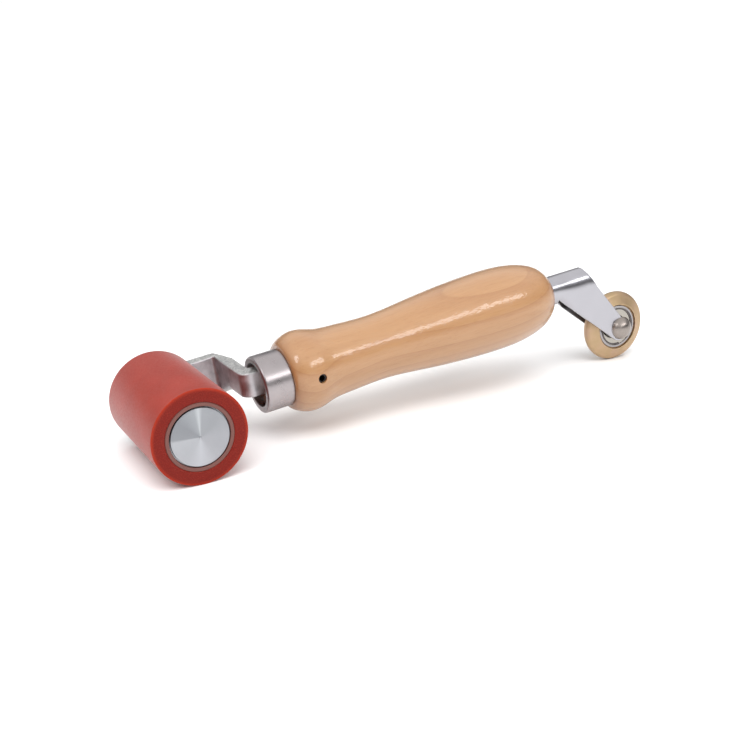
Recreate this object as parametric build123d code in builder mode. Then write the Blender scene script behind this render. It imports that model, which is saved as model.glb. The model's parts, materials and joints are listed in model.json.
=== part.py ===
"""Double-ended seam roller: a silicone press roller on a cranked arm and a brass penny wheel in a fork.

The tool stands on its two wheels. +X runs from the press roller to the penny wheel, +Y is the arm's side
of the press roller, and +Z is up. The origin is the middle of the footprint.
"""
from build123d import *
from math import asin, atan2, cos, hypot, radians, sin, sqrt
import os

os.makedirs("parts", exist_ok=True)

# ---- driving dimensions, millimetres ------------------------------------------------------------------
fit_gap = 0.02                 # radial play drawn in a fit between two pieces that don't move

roller_radius = 17.5
roller_width = 50.0
roller_rim_round = 0.4
core_radius = 12.5
core_bore_radius = 11.0
core_mouth_chamfer = 0.4
cap_face_radius = 10.6
cap_face_thickness = 1.4
cap_band_thickness = 1.6
cap_centre_dimple_radius = 0.45
cap_centre_dimple_depth = 0.25
cap_edge_chamfer = 0.3

axle_radius = 4.0
axle_tip_depth = 3.7           # from the free face of the roller to the tip of the axle
near_bearing_depth = 5.5       # from the free face of the roller to the near bearing
far_bearing_depth = 0.5        # from the arm-side face of the roller to the far bearing
shim_thickness = 0.5
circlip_thickness = 0.8
circlip_radius = 6.4
circlip_groove_radius = 3.6
circlip_groove_play = 0.05
circlip_gap_angle = 60.0
spacer_radius = 6.0
axle_head_radius = 6.0
axle_head_height = 2.0
axle_tip_chamfer = 0.4

bar_thickness = 5.0
eye_radius = 7.2               # half the height of the bar where it carries the axle
bar_bottom = -2.4              # underside of the slimmer part of the bar, below the roller's centre
arm_gap = 2.0                  # between the roller and the arm
web_inner_x = 26.3             # face of the cranked web that looks at the roller
relief_start_y = 15.0          # the bar's underside slopes down to the eye between these two
relief_end_y = 24.5
inner_bend_radius = 1.5
outer_bend_radius = 4.0
tang_end_x = 84.0
bevel_far_x = 27.4             # the top and bottom of the first bend are drawn in, from here on the far face
bevel_web_y = 19.4             # to here on the web
bevel_reach = 8.0

handle_side = 1.25             # handle axis, towards the arm from the middle of the roller
handle_rise = 1.05             # handle axis, above the middle of the roller
ferrule_front_x = 32.1
ferrule_rear_x = 43.0
ferrule_radius = 11.0
ferrule_wall = 1.2
ferrule_opening_radius = 8.4
ferrule_front_chamfer = 0.6
spigot_recess = 2.0            # the wood ends this far behind the ferrule's front wall
slot_play = 0.05
shoulder_radius = 12.0
# stations along the handle: place from the roller's axle, radius
handle_stations = [
    (49.5, 15.65),             # bulge over the cross pin
    (59.0, 14.3),
    (68.0, 13.4),
    (81.0, 12.9),              # waist
    (102.0, 14.6),
    (131.0, 16.6),             # belly
    (150.0, 15.7),
    (158.0, 13.4),
    (162.5, 10.2),
]
handle_end_x = 164.6
handle_end_radius = 7.0
handle_start_tangent = (0.21, 0.6)
handle_end_tangent = (0.18, -0.6)
pin_x = 52.5
pin_rise = 0.8                 # cross pin, above the handle axis
pin_radius = 1.75
pin_wall = 0.6
pin_slit = 0.6
pin_half_length = 14.8

tube_radius = 5.95
tube_wall = 1.5
tube_start_x = 132.0
cheek_root_x = 168.5           # the tube is slit open below from here
cheek_root_z = -2.5
fork_front_x = 183.9           # front edge of the fork at the top of the tube
fork_waist_x = 188.2           # the front edge turns a little here, where the tube becomes the cheeks
fork_waist_z = -1.5
cheek_end_x = 198.8            # centre of the cheeks' rounded ends
cheek_end_z = -24.6
cheek_end_radius = 4.5

penny_x = 199.7
penny_z = -23.7
penny_radius = 15.2
penny_tread_radius = 2.4       # the rim's cross section is this round
penny_hub_width = 7.0
penny_hub_radius = 10.3
penny_bore_chamfer = 0.3
rivet_radius = 3.0
rivet_head_radius = 5.0
rivet_head_height = 3.6
rivet_tail_radius = 4.2
rivet_tail_height = 1.8
penny_spacer_radius = 4.4

# Standard ball bearings: sizes of the 608 and the 626
bearing_608 = {
    "bore": 4.0, "radius": 11.0, "width": 7.0, "pitch": 7.5, "ball": 1.984, "groove": 2.05,
    "inner_land": 6.05, "outer_land": 9.5, "shield_seat": 9.9, "balls": 7,
}
bearing_626 = {
    "bore": 3.0, "radius": 9.5, "width": 6.0, "pitch": 6.25, "ball": 1.75, "groove": 1.81,
    "inner_land": 4.75, "outer_land": 7.8, "shield_seat": 8.45, "balls": 7,
}
shield_thickness = 0.3
shield_depth = 0.35            # from the face of the ring to the face of the shield
shield_play = 0.25
ring_edge_chamfer = 0.3
cage_half_thickness = 0.75
cage_back_cover = 0.6          # cage behind the balls
cage_finger_reach = 1.0        # of the cage's fingers past the middle of the balls
cage_ball_play = 0.08
snap_wire_thickness = 0.3
snap_wire_width = 0.7
snap_gap_angle = 34.0
snap_gap_place = -62.0         # where the gap in the snap ring sits, from +X towards +Z

# ---- how the tool stands -------------------------------------------------------------------------------
wheel_distance = hypot(penny_x, penny_z)
radius_step = roller_radius - penny_radius
stand_tilt = atan2(-penny_z, penny_x) - asin(radius_step / wheel_distance)
wheelbase = sqrt(wheel_distance**2 - radius_step**2)
arm_inner_y = roller_width / 2 + arm_gap
arm_outer_y = arm_inner_y + bar_thickness
overall_length = roller_radius + wheelbase + penny_radius
roller_centre = Vector(
    roller_radius - overall_length / 2,
    (roller_width / 2 - arm_outer_y - axle_head_height) / 2,
    roller_radius,
)
handle_direction = Vector(cos(stand_tilt), 0, sin(stand_tilt))
across = Vector(0, 1, 0)

# Side plane through the middle of the roller: local x runs along the handle, local y is the tool's up,
# and local z points away from the arm
side = Plane(origin=roller_centre, x_dir=handle_direction, z_dir=-across)
# Plan plane: local x runs along the handle, local y points towards the arm
plan = Plane(origin=roller_centre, x_dir=handle_direction, z_dir=side.y_dir)
handle_side_plane = Plane(
    origin=side.from_local_coords((0, handle_rise, -handle_side)), x_dir=handle_direction, z_dir=-across
)
handle_axis = Axis(handle_side_plane.origin, handle_direction)
pin_plane = Plane(
    origin=handle_side_plane.from_local_coords((pin_x, pin_rise, 0)), x_dir=handle_direction, z_dir=-across
)
penny_centre = side.from_local_coords((penny_x, penny_z, -handle_side))


def wheel_section(centre):
    """Plane for a turned profile about a wheel's axis: local x is along the axis, local y is the radius."""
    return Plane(origin=centre, x_dir=across, z_dir=(1, 0, 0))


def wheel_axis(centre):
    return Axis(centre, across)


def wheel_face(centre, offset):
    """Plane square to a wheel's axis, offset along it towards the arm: local x is +X, local y is +Z."""
    return Plane(origin=centre + across * offset, x_dir=(1, 0, 0), z_dir=-across)


def bar_section(place):
    """Plane square to the handle: local x points towards the arm, local y is the tool's up."""
    return Plane(origin=side.from_local_coords((place, 0, 0)), x_dir=across, z_dir=handle_direction)


def stem_section(place):
    """The same plane with its origin on the handle's axis."""
    origin = handle_side_plane.from_local_coords((place, 0, 0))
    return Plane(origin=origin, x_dir=across, z_dir=handle_direction)


def bevel_plane(level):
    """Plane across the outside of the arm's first bend, at its top (level 1) or bottom (level -1)."""
    start = side.from_local_coords((bevel_far_x, level * eye_radius, -arm_outer_y))
    finish = side.from_local_coords((web_inner_x + bar_thickness, level * eye_radius, -bevel_web_y))
    along = (finish - start).normalized()
    return Plane(origin=start, x_dir=side.y_dir.cross(along), z_dir=along)


def gap_wedge(angle, reach):
    """Outline of the wedge that a ring's gap takes out, about local +X."""
    high = (reach * cos(radians(angle / 2)), reach * sin(radians(angle / 2)))
    low = (high[0], -high[1])
    return Polyline((0, 0), high, low, close=True)


def dome_point(base, direction, height, radius):
    """Point halfway round a rivet head's dome, from its pole to its rim."""
    sphere_radius = (radius**2 + height**2) / (2 * height)
    half_angle = asin(radius / sphere_radius) / 2
    rise = height - sphere_radius * (1 - cos(half_angle))
    return (base + direction * rise, sphere_radius * sin(half_angle))


def save(piece, label):
    piece.label = label
    export_step(piece, f"parts/{label}.step")


def collar(centre, start, end, inner_radius, outer_radius):
    """A plain turned ring between two places along a wheel's axis."""
    with BuildPart() as ring:
        with BuildSketch(wheel_section(centre)):
            with Locations(((start + end) / 2, (inner_radius + outer_radius) / 2)):
                Rectangle(end - start, outer_radius - inner_radius)
        revolve(axis=wheel_axis(centre))
    return ring.part


# ---- ball bearings -------------------------------------------------------------------------------------
def bearing_outer_ring(size, centre):
    half = size["width"] / 2
    seat_depth = shield_depth + shield_thickness
    with BuildPart() as ring:
        with BuildSketch(wheel_section(centre)) as profile:
            with Locations((0, (size["outer_land"] + size["radius"]) / 2)):
                Rectangle(size["width"], size["radius"] - size["outer_land"])
            chamfer(profile.vertices().group_by(Axis.Z)[-1], ring_edge_chamfer)
            for face_side in (-1, 1):
                with Locations((face_side * (half - seat_depth / 2), size["shield_seat"] - 1)):
                    Rectangle(seat_depth, 2, mode=Mode.SUBTRACT)
            with Locations((0, size["pitch"])):
                Circle(size["groove"], mode=Mode.SUBTRACT)
        revolve(axis=wheel_axis(centre))
    return ring.part


def bearing_inner_ring(size, centre):
    bore = size["bore"] + fit_gap
    with BuildPart() as ring:
        with BuildSketch(wheel_section(centre)) as profile:
            with Locations((0, (bore + size["inner_land"]) / 2)):
                Rectangle(size["width"], size["inner_land"] - bore)
            chamfer(profile.vertices().group_by(Axis.Z)[0], ring_edge_chamfer)
            with Locations((0, size["pitch"])):
                Circle(size["groove"], mode=Mode.SUBTRACT)
        revolve(axis=wheel_axis(centre))
    return ring.part


def bearing_balls(size, centre):
    with BuildPart(wheel_face(centre, 0)) as balls:
        with PolarLocations(size["pitch"], size["balls"]):
            Sphere(size["ball"])
    return balls.part


def bearing_cage(size, centre):
    """Crown cage: one ring beside the balls, with fingers that reach between them."""
    back = size["ball"] + cage_back_cover
    front = cage_finger_reach
    with BuildPart() as cage:
        with BuildSketch(wheel_section(centre)):
            with Locations(((front - back) / 2, size["pitch"])):
                Rectangle(front + back, 2 * cage_half_thickness)
        revolve(axis=wheel_axis(centre))
        with Locations(wheel_face(centre, 0)):
            with PolarLocations(size["pitch"], size["balls"]):
                Sphere(size["ball"] + cage_ball_play, mode=Mode.SUBTRACT)
    return cage.part


def bearing_shield(size, centre, face_side):
    outer_face = size["width"] / 2 - shield_depth
    inner_face = outer_face - shield_thickness
    ends = sorted((face_side * outer_face, face_side * inner_face))
    return collar(centre, *ends, size["inner_land"] + shield_play, size["shield_seat"] - fit_gap)


def save_bearing(name, size, centre):
    save(bearing_outer_ring(size, centre), f"{name}_outer_ring")
    save(bearing_inner_ring(size, centre), f"{name}_inner_ring")
    save(bearing_balls(size, centre), f"{name}_balls")
    save(bearing_cage(size, centre), f"{name}_cage")
    save(bearing_shield(size, centre, -1), f"{name}_shield_near")
    save(bearing_shield(size, centre, 1), f"{name}_shield_far")


half_bearing = bearing_608["width"] / 2
near_bearing_y = -roller_width / 2 + near_bearing_depth + half_bearing
far_bearing_y = roller_width / 2 - far_bearing_depth - half_bearing
save_bearing("near_bearing", bearing_608, roller_centre + across * near_bearing_y)
save_bearing("far_bearing", bearing_608, roller_centre + across * far_bearing_y)
save_bearing("penny_bearing", bearing_626, penny_centre)

# ---- press roller --------------------------------------------------------------------------------------
with BuildPart() as silicone_sleeve:
    with BuildSketch(wheel_section(roller_centre)) as sleeve_profile:
        with Locations((0, (core_radius + fit_gap + roller_radius) / 2)):
            Rectangle(roller_width, roller_radius - core_radius - fit_gap)
        fillet(sleeve_profile.vertices().group_by(Axis.Z)[-1], roller_rim_round)
    revolve(axis=wheel_axis(roller_centre))
save(silicone_sleeve.part, "silicone_sleeve")

with BuildPart() as roller_core:
    with BuildSketch(wheel_section(roller_centre)) as core_profile:
        with Locations((0, (core_bore_radius + core_radius) / 2)):
            Rectangle(roller_width, core_radius - core_bore_radius)
        chamfer(core_profile.vertices().group_by(Axis.Z)[0], core_mouth_chamfer)
    revolve(axis=wheel_axis(roller_centre))
save(roller_core.part, "roller_core")

cap_face_y = -roller_width / 2
cap_step_y = cap_face_y + cap_face_thickness
cap_back_y = cap_step_y + cap_band_thickness
with BuildPart() as end_cap:
    with BuildSketch(wheel_section(roller_centre)):
        with BuildLine():
            Polyline(
                (cap_face_y + cap_centre_dimple_depth, 0),
                (cap_face_y, cap_centre_dimple_radius),
                (cap_face_y, cap_face_radius - cap_edge_chamfer),
                (cap_face_y + cap_edge_chamfer, cap_face_radius),
                (cap_step_y, cap_face_radius),
                (cap_step_y, core_bore_radius - fit_gap),
                (cap_back_y, core_bore_radius - fit_gap),
                (cap_back_y, 0),
                close=True,
            )
        make_face()
    revolve(axis=wheel_axis(roller_centre))
save(end_cap.part, "end_cap")

# ---- press roller's axle -------------------------------------------------------------------------------
axle_tip_y = -roller_width / 2 + axle_tip_depth
near_ring_face_y = near_bearing_y - half_bearing
shim_face_y = near_ring_face_y - shim_thickness
circlip_face_y = shim_face_y - circlip_thickness
axle_bore = axle_radius + fit_gap

with BuildPart() as axle_stud:
    with BuildSketch(wheel_section(roller_centre)):
        with BuildLine():
            Polyline(
                (axle_tip_y, 0),
                (axle_tip_y, axle_radius - axle_tip_chamfer),
                (axle_tip_y + axle_tip_chamfer, axle_radius),
                (circlip_face_y - circlip_groove_play, axle_radius),
                (circlip_face_y - circlip_groove_play, circlip_groove_radius),
                (shim_face_y, circlip_groove_radius),
                (shim_face_y, axle_radius),
                (arm_outer_y, axle_radius),
                (arm_outer_y, axle_head_radius),
            )
            ThreePointArc(
                (arm_outer_y, axle_head_radius),
                dome_point(arm_outer_y, 1, axle_head_height, axle_head_radius),
                (arm_outer_y + axle_head_height, 0),
            )
            Line((arm_outer_y + axle_head_height, 0), (axle_tip_y, 0))
        make_face()
    revolve(axis=wheel_axis(roller_centre))
save(axle_stud.part, "axle_stud")

with BuildPart() as axle_circlip:
    with BuildSketch(wheel_face(roller_centre, shim_face_y)):
        Circle(circlip_radius)
        Circle(circlip_groove_radius + fit_gap, mode=Mode.SUBTRACT)
        with BuildLine():
            gap_wedge(circlip_gap_angle, roller_radius)
        make_face(mode=Mode.SUBTRACT)
    extrude(amount=circlip_thickness)
save(axle_circlip.part, "axle_circlip")

save(collar(roller_centre, shim_face_y, near_ring_face_y, axle_bore, spacer_radius), "shim_washer")
save(
    collar(roller_centre, near_bearing_y + half_bearing, far_bearing_y - half_bearing, axle_bore, spacer_radius),
    "bearing_spacer",
)
save(collar(roller_centre, far_bearing_y + half_bearing, arm_inner_y, axle_bore, spacer_radius), "arm_spacer")

# ---- cranked arm ---------------------------------------------------------------------------------------
web_outer_x = web_inner_x + bar_thickness
tang_near_y = handle_side - bar_thickness / 2
tang_far_y = handle_side + bar_thickness / 2

with BuildPart() as crank_arm:
    with BuildSketch(plan.offset(-eye_radius)) as bar_outline:
        with BuildLine():
            Polyline(
                (0, arm_inner_y),
                (web_inner_x, arm_inner_y),
                (web_inner_x, tang_near_y),
                (tang_end_x, tang_near_y),
                (tang_end_x, tang_far_y),
                (web_outer_x, tang_far_y),
                (web_outer_x, arm_outer_y),
                (0, arm_outer_y),
                close=True,
            )
        make_face()
    extrude(amount=2 * eye_radius)
    upright_edges = crank_arm.edges().filter_by(Axis(plan.origin, plan.z_dir))
    corner = {}
    for edge in upright_edges:
        place = plan.to_local_coords(edge.center())
        corner[(round(place.X, 2), round(place.Y, 2))] = edge
    inner_corners = [
        corner[(round(web_inner_x, 2), round(arm_inner_y, 2))],
        corner[(round(web_outer_x, 2), round(tang_far_y, 2))],
    ]
    outer_corners = [
        corner[(round(web_inner_x, 2), round(tang_near_y, 2))],
        corner[(round(web_outer_x, 2), round(arm_outer_y, 2))],
    ]
    fillet(inner_corners, inner_bend_radius)
    fillet(outer_corners, outer_bend_radius)
    with BuildSketch(side.offset(-arm_inner_y)):
        Circle(eye_radius)
    extrude(amount=-bar_thickness)
    with BuildSketch(bar_section(web_inner_x - inner_bend_radius)):
        with BuildLine():
            Polyline(
                (tang_near_y - bar_thickness, -2 * eye_radius),
                (tang_near_y - bar_thickness, bar_bottom),
                (relief_start_y, bar_bottom),
                (relief_end_y, -eye_radius),
                (relief_end_y, -2 * eye_radius),
                close=True,
            )
        make_face()
    extrude(amount=tang_end_x, mode=Mode.SUBTRACT)
    for level in (1, -1):
        with BuildSketch(bevel_plane(level)):
            with BuildLine():
                Polyline((0, 0), (bevel_reach, 0), (bevel_reach, -level * bevel_reach), close=True)
            make_face()
        extrude(amount=2 * bevel_reach, both=True, mode=Mode.SUBTRACT)
    with BuildSketch(side.offset(-arm_outer_y)):
        Circle(axle_radius + fit_gap)
    extrude(amount=bar_thickness, mode=Mode.SUBTRACT)
    with BuildSketch(pin_plane):
        Circle(pin_radius + fit_gap)
    extrude(amount=bar_thickness, both=True, mode=Mode.SUBTRACT)
save(crank_arm.part, "crank_arm")

# ---- ferrule, handle and cross pin ---------------------------------------------------------------------
with BuildPart() as ferrule:
    with BuildSketch(handle_side_plane):
        with BuildLine():
            Polyline(
                (ferrule_front_x, ferrule_opening_radius),
                (ferrule_front_x, ferrule_radius - ferrule_front_chamfer),
                (ferrule_front_x + ferrule_front_chamfer, ferrule_radius),
                (ferrule_rear_x, ferrule_radius),
                (ferrule_rear_x, ferrule_radius - ferrule_wall),
                (ferrule_front_x + ferrule_wall, ferrule_radius - ferrule_wall),
                (ferrule_front_x + ferrule_wall, ferrule_opening_radius),
                close=True,
            )
        make_face()
    revolve(axis=handle_axis)
save(ferrule.part, "ferrule")

spigot_front_x = ferrule_front_x + ferrule_wall + spigot_recess
spigot_radius = ferrule_radius - ferrule_wall - fit_gap
with BuildPart() as handle:
    with BuildSketch(handle_side_plane):
        with BuildLine():
            Polyline(
                (handle_end_x, handle_end_radius),
                (handle_end_x, 0),
                (spigot_front_x, 0),
                (spigot_front_x, spigot_radius),
                (ferrule_rear_x + fit_gap, spigot_radius),
                (ferrule_rear_x + fit_gap, shoulder_radius),
            )
            Spline(
                (ferrule_rear_x + fit_gap, shoulder_radius),
                *handle_stations,
                (handle_end_x, handle_end_radius),
                tangents=(handle_start_tangent, handle_end_tangent),
                tangent_scalars=(1, 1),
            )
        make_face()
    revolve(axis=handle_axis)
    with BuildSketch(bar_section(spigot_front_x)):
        with Locations((handle_side, (eye_radius + bar_bottom) / 2)):
            Rectangle(bar_thickness + 2 * slot_play, eye_radius - bar_bottom + 2 * slot_play)
    extrude(amount=tang_end_x - spigot_front_x + slot_play, mode=Mode.SUBTRACT)
    with BuildSketch(stem_section(tube_start_x - slot_play)):
        Circle(tube_radius + fit_gap)
    extrude(amount=handle_end_x - tube_start_x + 1, mode=Mode.SUBTRACT)
    with BuildSketch(pin_plane):
        Circle(pin_radius + fit_gap)
    extrude(amount=2 * ferrule_radius, both=True, mode=Mode.SUBTRACT)
save(handle.part, "handle")

with BuildPart() as roll_pin:
    with BuildSketch(pin_plane):
        Circle(pin_radius)
        Circle(pin_radius - pin_wall, mode=Mode.SUBTRACT)
        with Locations((0, -pin_radius)):
            Rectangle(pin_slit, 2 * pin_radius, mode=Mode.SUBTRACT)
    extrude(amount=pin_half_length, both=True)
save(roll_pin.part, "roll_pin")

# ---- fork and penny wheel ------------------------------------------------------------------------------
tube_top_z = handle_rise + tube_radius
fork_length = cheek_end_x + 2 * cheek_end_radius - cheek_root_x
with BuildPart() as stem_fork:
    with BuildSketch(side.offset(-handle_side)):
        with BuildLine():
            Polyline((cheek_root_x, cheek_root_z), (cheek_root_x, fork_waist_z), (fork_waist_x, fork_waist_z))
            CenterArc((cheek_end_x, cheek_end_z), cheek_end_radius, 0, 360)
        make_hull()
        with BuildLine():
            Polyline(
                (cheek_root_x, fork_waist_z),
                (cheek_root_x, tube_top_z),
                (fork_front_x, tube_top_z),
                (fork_waist_x, fork_waist_z),
                close=True,
            )
        make_face()
    extrude(amount=tube_radius, both=True)
    with BuildSketch(stem_section(cheek_root_x)):
        leg_height = handle_rise - cheek_end_z + 2 * cheek_end_radius
        Circle(tube_radius)
        with Locations((0, -leg_height / 2)):
            Rectangle(2 * tube_radius, leg_height)
        Circle(tube_radius - tube_wall, mode=Mode.SUBTRACT)
        with Locations((0, -leg_height / 2)):
            Rectangle(2 * (tube_radius - tube_wall), leg_height, mode=Mode.SUBTRACT)
    extrude(amount=fork_length, mode=Mode.INTERSECT)
    with BuildSketch(stem_section(tube_start_x)):
        Circle(tube_radius)
        Circle(tube_radius - tube_wall, mode=Mode.SUBTRACT)
    extrude(amount=cheek_root_x - tube_start_x)
    with BuildSketch(wheel_face(penny_centre, 0)):
        Circle(rivet_radius + fit_gap)
    extrude(amount=2 * tube_radius, both=True, mode=Mode.SUBTRACT)
save(stem_fork.part, "stem_fork")

penny_bore_radius = bearing_626["radius"] + fit_gap
with BuildPart() as penny_tyre:
    with BuildSketch(wheel_section(penny_centre)) as tyre_profile:
        with BuildLine():
            Polyline(
                (-penny_hub_width / 2, penny_hub_radius),
                (-penny_hub_width / 2, penny_bore_radius),
                (penny_hub_width / 2, penny_bore_radius),
                (penny_hub_width / 2, penny_hub_radius),
            )
            CenterArc((0, penny_radius - penny_tread_radius), penny_tread_radius, 0, 360)
        make_hull()
        chamfer(tyre_profile.vertices().group_by(Axis.Z)[0], penny_bore_chamfer)
    revolve(axis=wheel_axis(penny_centre))
save(penny_tyre.part, "penny_tyre")

for name, face_side in (("near", -1), ("far", 1)):
    cheek_face = face_side * (tube_radius - tube_wall)
    ring_face = face_side * bearing_626["width"] / 2
    ends = sorted((cheek_face, ring_face))
    spacer = collar(penny_centre, *ends, rivet_radius + fit_gap, penny_spacer_radius)
    save(spacer, f"penny_spacer_{name}")

    wire_outer_radius = bearing_626["shield_seat"] - fit_gap
    wire_inner_radius = wire_outer_radius - snap_wire_width
    wire_start = bearing_626["width"] / 2 - shield_depth
    with BuildPart() as snap_ring:
        with BuildSketch(wheel_face(penny_centre, face_side * (wire_start + snap_wire_thickness / 2))):
            Circle(wire_outer_radius)
            Circle(wire_inner_radius, mode=Mode.SUBTRACT)
            with BuildLine(Plane.XY.rotated((0, 0, snap_gap_place))):
                gap_wedge(snap_gap_angle, penny_radius)
            make_face(mode=Mode.SUBTRACT)
        extrude(amount=snap_wire_thickness / 2, both=True)
    save(snap_ring.part, f"penny_snap_ring_{name}")

with BuildPart() as penny_rivet:
    with BuildSketch(wheel_section(penny_centre)):
        with BuildLine():
            ThreePointArc(
                (-tube_radius - rivet_head_height, 0),
                dome_point(-tube_radius, -1, rivet_head_height, rivet_head_radius),
                (-tube_radius, rivet_head_radius),
            )
            Polyline(
                (-tube_radius, rivet_head_radius),
                (-tube_radius, rivet_radius),
                (tube_radius, rivet_radius),
                (tube_radius, rivet_tail_radius),
            )
            ThreePointArc(
                (tube_radius, rivet_tail_radius),
                dome_point(tube_radius, 1, rivet_tail_height, rivet_tail_radius),
                (tube_radius + rivet_tail_height, 0),
            )
            Line((tube_radius + rivet_tail_height, 0), (-tube_radius - rivet_head_height, 0))
        make_face()
    revolve(axis=wheel_axis(penny_centre))
save(penny_rivet.part, "penny_rivet")
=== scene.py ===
"""Looks for the double-ended seam roller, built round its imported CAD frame.

Lengths are in millimetres in the tool's own axes until a piece is placed: x runs along the handle from the
press roller's axle, y across the tool towards the cranked arm, and z is the tool's up.
"""
import json
import math

import bmesh
import bpy
from mathutils import Matrix, Vector
from mathutils import noise as hills


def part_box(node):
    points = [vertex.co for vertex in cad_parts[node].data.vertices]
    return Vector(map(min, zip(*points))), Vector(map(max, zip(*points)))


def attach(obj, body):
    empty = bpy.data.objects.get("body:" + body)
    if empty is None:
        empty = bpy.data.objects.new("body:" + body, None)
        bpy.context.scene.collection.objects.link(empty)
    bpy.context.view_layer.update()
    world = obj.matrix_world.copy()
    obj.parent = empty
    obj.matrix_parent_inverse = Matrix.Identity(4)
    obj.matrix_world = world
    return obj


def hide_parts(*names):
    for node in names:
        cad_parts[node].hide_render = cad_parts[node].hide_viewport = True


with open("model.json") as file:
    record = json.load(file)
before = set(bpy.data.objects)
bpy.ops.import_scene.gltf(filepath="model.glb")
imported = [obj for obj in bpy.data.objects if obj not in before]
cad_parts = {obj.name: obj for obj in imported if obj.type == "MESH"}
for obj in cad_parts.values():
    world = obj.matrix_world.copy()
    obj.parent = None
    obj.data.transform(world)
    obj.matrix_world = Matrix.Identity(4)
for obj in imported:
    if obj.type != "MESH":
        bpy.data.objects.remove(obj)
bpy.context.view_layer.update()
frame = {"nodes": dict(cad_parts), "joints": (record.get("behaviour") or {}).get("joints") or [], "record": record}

MM = 0.001
TURNED_STEPS = 192             # segments round a turned piece
CORNER_STEPS = 5               # segments in a rounded corner
DOME_STEPS = 14
SHARP_DEGREES = 38             # faces that meet at more than this keep a sharp edge
WELD = 1e-4                    # points closer than this are one, in millimetres

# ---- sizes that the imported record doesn't give, in millimetres ----
PLAY = 0.02                    # left between pieces that are pressed together
CORE_RADIUS = 12.5
CORE_BORE = 11.0
RIM_ROUND = 0.4
CAP_FACE_RADIUS = 10.6
CAP_FACE_THICKNESS = 1.4
CAP_EDGE = 0.25
CAP_PIP = [(0.22, 0), (0.20, 0.18), (0.06, 0.36), (0.0, 0.5)]      # depth and radius of the centre mark
CAP_FLAT_START = 1.0           # the flat face is ringed from this radius outwards
CAP_FLAT_RINGS = 12
END_FACING = 0.6               # faces of the sleeve that look this much along its axle are its cut ends, whose colour is painted darker as shade
AXLE_RADIUS = 4.0
AXLE_HEAD_HEIGHT = 2.0
AXLE_TIP = 0.4
SPACER_EDGE = 0.2
BEARING_608 = (9.5, 9.9, 6.05, 4.02)       # outer land, shield seat, inner land and bore radii
BEARING_626 = (7.8, 8.45, 4.75, 3.02)
NEAR_BEARING = -16.0           # middles of the bearings, towards the arm from the roller's middle
FAR_BEARING = 21.0
SHIELD_DEPTH = 0.35
SHIELD_THICKNESS = 0.3
SHIELD_GAP = 0.25              # between a shield and the inner ring
THIN_EDGE = 0.1
RING_EDGE = 0.3
BAR = 5.0                      # thickness of the cranked bar
BAR_EDGE = 0.55
BAR_SKIN = 0.6                 # the bar's inside is divided between this far from its two faces
BAR_RISES = (-6.6, -5.8, -5, -4, -3, -1, 1, 3, 4, 5, 5.8, 6.6)     # heights at which the bar is divided
BAR_FACING = 0.75              # faces that look this much across the bar's thickness are its flat sides
EYE_RADIUS = 7.2
EYE_STEPS = 48
BEND_STEPS = 16                # divisions of the straightened bar in each bend,
WEB_STEPS = 20                 # and between the two
BAR_BOTTOM = -2.4
ARM_INNER = 27.0               # face of the arm towards the roller
WEB_INNER = 26.3
TANG_FAR = 3.75
TANG_END = 84.0
RELIEF_START_Y = 15.0          # the web's underside slopes down from here
RELIEF_END_Y = 24.5            # to here
BEND_INNER = 1.5
BEND_MIDDLE = 4.0
BEND_OUTER = 4.6
BEVEL_FAR_X = 27.4             # outside the line from here to the web, the bar gets narrower
BEVEL_WEB_Y = 19.4
SWELL = 0.45                   # of the inner corners of the bends
SWELL_REACH = 1.8
SHEAR_WAVE = 0.22              # how uneven the sheared edges are
SHEAR_WAVES_PER_MM = 0.7
HANDLE_SIDE = 1.25             # handle's axis, from the roller's middle and centre
HANDLE_RISE = 1.05
FERRULE_FRONT = 32.1
FERRULE_REAR = 43.0
FERRULE_RADIUS = 11.0
FERRULE_WALL = 1.2
FERRULE_OPENING = 8.4
OPENING_EDGE = 0.35
FERRULE_FRONT_EDGE = 0.9
FERRULE_REAR_EDGE = 0.3
FERRULE_CORNER = 0.4
FERRULE_STEPS = 8
SPIGOT_RECESS = 2.0            # the wood ends this far behind the ferrule's front wall
SHOULDER_RADIUS = 12.0
HANDLE_STATIONS = [            # place along the handle, and radius
    (49.5, 15.65), (59.0, 14.3), (68.0, 13.4), (81.0, 12.9), (102.0, 14.6), (131.0, 16.6), (150.0, 15.7),
    (158.0, 13.4), (162.5, 10.2),
]
HANDLE_END = 164.6
HANDLE_END_RADIUS = 7.0
HANDLE_START = Vector((0.21, 0.6))         # directions of the outline at its two ends
HANDLE_FINISH = Vector((0.18, -0.6))
HANDLE_STEPS = 24              # points between two stations
SMOOTHING_ROUNDS = 60
HANDLE_SKIN = 0.06             # how far the look stays inside the CAD's skin
TUBE_MOUTH = 0.3               # chamfer in the wood round the fork's tube
TUBE_SEAT_DEPTH = 0.6          # of the wood inside the tube
PIN_X = 52.5
PIN_RISE = 0.8
PIN_HOLE = 1.77
PIN_RADIUS = 1.74
PIN_BORE = 1.15
PIN_HALF_LENGTH = 14.8
PIN_SLIT = (90, 20)            # its middle and width, in degrees
DRILL_REACH = 40               # the pin's hole is cut this far each way, right through the handle
TUBE_START_X = 132.0
TUBE_RADIUS = 5.95
TUBE_WALL = 1.5
SEAM_HALF = 0.04               # half of the gap between the tube's two edges
SHEET_EDGE = 0.3
CHEEK_ROOT_X = 168.5
CHEEK_ROOT_Z = -2.5
FORK_FRONT_X = 183.9
FORK_WAIST_X = 188.2
FORK_WAIST_Z = -1.5
CHEEK_END_X = 198.8
CHEEK_END_Z = -24.6
CHEEK_END_RADIUS = 4.5
CHEEK_END_STEPS = 32
FORK_EDGE_STEPS = 24           # along the rear edge, and along the sheet itself
FORK_FRONT_STEPS = 10
FORK_ROUND_STEPS = 80
CURL_REACH = 9.0               # the sheet is flat this far past the root of the cheeks
ARCH_GROWTH = 2.4              # how much taller the rounded top is at the fork's front
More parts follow.
